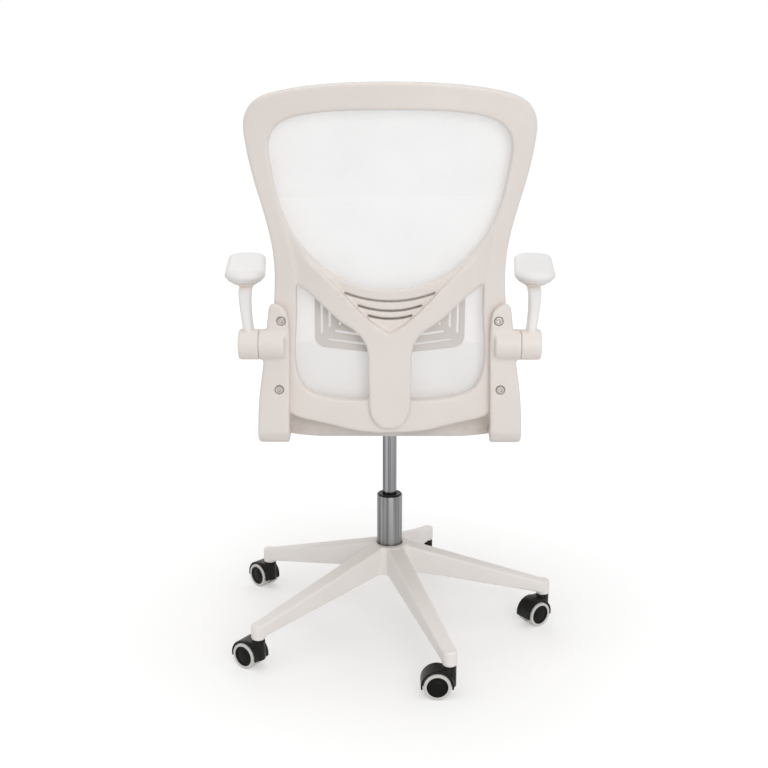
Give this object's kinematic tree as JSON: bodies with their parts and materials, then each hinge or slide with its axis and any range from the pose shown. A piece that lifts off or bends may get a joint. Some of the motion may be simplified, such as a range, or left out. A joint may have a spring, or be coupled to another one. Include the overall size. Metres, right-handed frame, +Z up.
{
  "type": "office chair",
  "caption": "Task chair with curved mesh back on a Y-spined frame, flip-up arms, gas lift, tilting seat and a castered star base.",
  "frame": {"origin": "on the floor under the gas lift's axis", "axes": "+Z up, the sitter faces -Y, the sitter's left is +X"},
  "size_m": [0.6387, 0.6659, 1.0705],
  "materials": {
    "base_nylon": "satin",
    "steel": "satin",
    "tube_chrome": "brushed",
    "cylinder_chrome": "polished",
    "black_plastic": "satin",
    "rubber": "matte",
    "black_steel": "satin",
    "plywood": "raw",
    "seat_fabric": "woven",
    "frame_nylon": "satin",
    "lumbar_plastic": "satin",
    "rim_plastic": "satin",
    "mesh_fabric": "mesh",
    "pad_foam": "soft matte",
    "wheel_plastic": "satin"
  },
  "bodies": {
    "base": {"star_base": "base_nylon", "caster_sleeves": "steel", "gas_outer_tube": "tube_chrome", "guide_bush": "black_plastic", "thrust_bearing": "steel"},
    "rod": {"piston_rod": "steel", "rod_clip": "steel", "bump_stop": "rubber"},
    "lift": {"gas_cylinder": "cylinder_chrome", "taper_socket": "black_steel", "mechanism_housing": "black_steel", "tilt_pin": "steel", "tilt_spring": "steel"},
    "valve": {"release_pin": "steel"},
    "lock": {"lock_collar": "black_plastic"},
    "lever": {"release_lever": "steel", "lever_handle": "black_plastic"},
    "seat": {"seat_plate": "black_steel", "seat_bolts": "steel", "seat_pan": "plywood", "seat_cushion": "seat_fabric", "left_bracket": "frame_nylon", "right_bracket": "frame_nylon", "bracket_bolts": "steel", "back_frame": "frame_nylon", "back_spine": "frame_nylon", "mesh_rim": "rim_plastic", "back_mesh": "mesh_fabric", "lumbar_support": "lumbar_plastic", "lumbar_screws": "steel", "back_bolts": "steel", "arm_axles": "steel"},
    "knob": {"tension_bolt": "steel", "tension_knob": "black_plastic"},
    "left_armrest": {"left_arm": "frame_nylon", "left_arm_pad": "pad_foam", "left_pad_screws": "steel"},
    "right_armrest": {"right_arm": "frame_nylon", "right_arm_pad": "pad_foam", "right_pad_screws": "steel"},
    "caster_1": {"caster_1_hood": "black_plastic", "caster_1_stem": "steel"},
    "caster_1_a": {"caster_1_wheel_a": "wheel_plastic"},
    "caster_1_b": {"caster_1_wheel_b": "wheel_plastic"},
    "caster_2": {"caster_2_hood": "black_plastic", "caster_2_stem": "steel"},
    "caster_2_a": {"caster_2_wheel_a": "wheel_plastic"},
    "caster_2_b": {"caster_2_wheel_b": "wheel_plastic"},
    "caster_3": {"caster_3_hood": "black_plastic", "caster_3_stem": "steel"},
    "caster_3_a": {"caster_3_wheel_a": "wheel_plastic"},
    "caster_3_b": {"caster_3_wheel_b": "wheel_plastic"},
    "caster_4": {"caster_4_hood": "black_plastic", "caster_4_stem": "steel"},
    "caster_4_a": {"caster_4_wheel_a": "wheel_plastic"},
    "caster_4_b": {"caster_4_wheel_b": "wheel_plastic"},
    "caster_5": {"caster_5_hood": "black_plastic", "caster_5_stem": "steel"},
    "caster_5_a": {"caster_5_wheel_a": "wheel_plastic"},
    "caster_5_b": {"caster_5_wheel_b": "wheel_plastic"}
  },
  "joints": [
    {"name": "seat_swivel", "type": "hinge", "parent": "base", "child": "rod", "pos_m": [0, 0, 0.2], "axis": [0, 0, 1], "continuous": true},
    {"name": "seat_height", "type": "slide", "parent": "rod", "child": "lift", "axis": [0, 0, 1], "range_m": [-0.08, 0]},
    {"name": "valve_push", "type": "slide", "parent": "lift", "child": "valve", "axis": [0, 0, -1], "range_m": [0, 0.0046]},
    {"name": "tilt_lock", "type": "slide", "parent": "lift", "child": "lock", "axis": [-1, 0, 0], "range_m": [0, 0.012]},
    {"name": "lever_pull", "type": "hinge", "parent": "lock", "child": "lever", "pos_m": [-0.1, -0.022, 0.4523], "axis": [-1, 0, 0], "range_deg": [0, 10], "stiffness_Nm_per_rad": 1, "springref_deg": -17.19},
    {"name": "seat_tilt", "type": "hinge", "parent": "lift", "child": "seat", "pos_m": [0, -0.05, 0.452], "axis": [-1, 0, 0], "range_deg": [0, 15], "stiffness_Nm_per_rad": 60, "springref_deg": -28.65, "deforming": ["tilt_spring"]},
    {"name": "tension_turn", "type": "hinge", "parent": "seat", "child": "knob", "pos_m": [0, -0.095, 0.386], "axis": [0, 0, 1], "range_deg": [-720, 720]},
    {"name": "left_arm_flip", "type": "hinge", "parent": "seat", "child": "left_armrest", "pos_m": [0.24, 0.24, 0.635], "axis": [-1, 0, 0], "range_deg": [0, 90]},
    {"name": "right_arm_flip", "type": "hinge", "parent": "seat", "child": "right_armrest", "pos_m": [-0.24, 0.24, 0.635], "axis": [-1, 0, 0], "range_deg": [0, 90]},
    {"name": "caster_1_swivel", "type": "hinge", "parent": "base", "child": "caster_1", "pos_m": [-0.10773, 0.29281, 0.07], "axis": [0, 0, 1], "continuous": true},
    {"name": "caster_1_roll_a", "type": "hinge", "parent": "caster_1", "child": "caster_1_a", "pos_m": [-0.08573, 0.29281, 0.025], "axis": [0, 1, 0], "continuous": true},
    {"name": "caster_1_roll_b", "type": "hinge", "parent": "caster_1", "child": "caster_1_b", "pos_m": [-0.08573, 0.29281, 0.025], "axis": [0, 1, 0], "continuous": true},
    {"name": "caster_2_swivel", "type": "hinge", "parent": "base", "child": "caster_2", "pos_m": [-0.31177, -0.01198, 0.07], "axis": [0, 0, 1], "continuous": true},
    {"name": "caster_2_roll_a", "type": "hinge", "parent": "caster_2", "child": "caster_2_a", "pos_m": [-0.29375, 0.00064, 0.025], "axis": [-0.5736, 0.8192, 0], "continuous": true},
    {"name": "caster_2_roll_b", "type": "hinge", "parent": "caster_2", "child": "caster_2_b", "pos_m": [-0.29375, 0.00064, 0.025], "axis": [-0.5736, 0.8192, 0], "continuous": true},
    {"name": "caster_3_swivel", "type": "hinge", "parent": "base", "child": "caster_3", "pos_m": [-0.08495, -0.30021, 0.07], "axis": [0, 0, 1], "continuous": true},
    {"name": "caster_3_roll_a", "type": "hinge", "parent": "caster_3", "child": "caster_3_a", "pos_m": [-0.06329, -0.29639, 0.025], "axis": [-0.1736, 0.9848, 0], "continuous": true},
    {"name": "caster_3_roll_b", "type": "hinge", "parent": "caster_3", "child": "caster_3_b", "pos_m": [-0.06329, -0.29639, 0.025], "axis": [-0.1736, 0.9848, 0], "continuous": true},
    {"name": "caster_4_swivel", "type": "hinge", "parent": "base", "child": "caster_4", "pos_m": [0.25927, -0.17356, 0.07], "axis": [0, 0, 1], "continuous": true},
    {"name": "caster_4_roll_a", "type": "hinge", "parent": "caster_4", "child": "caster_4_a", "pos_m": [0.27482, -0.18912, 0.025], "axis": [0.7071, 0.7071, 0], "continuous": true},
    {"name": "caster_4_roll_b", "type": "hinge", "parent": "caster_4", "child": "caster_4_b", "pos_m": [0.27482, -0.18912, 0.025], "axis": [0.7071, 0.7071, 0], "continuous": true},
    {"name": "caster_5_swivel", "type": "hinge", "parent": "base", "child": "caster_5", "pos_m": [0.24519, 0.19294, 0.07], "axis": [0, 0, 1], "continuous": true},
    {"name": "caster_5_roll_a", "type": "hinge", "parent": "caster_5", "child": "caster_5_a", "pos_m": [0.26321, 0.18033, 0.025], "axis": [0.5736, 0.8192, 0], "continuous": true},
    {"name": "caster_5_roll_b", "type": "hinge", "parent": "caster_5", "child": "caster_5_b", "pos_m": [0.26321, 0.18033, 0.025], "axis": [0.5736, 0.8192, 0], "continuous": true}
  ],
  "couplings": [
    {"joint": "valve_push", "follows": "lever_pull", "m_per_rad": 0.026}
  ]
}
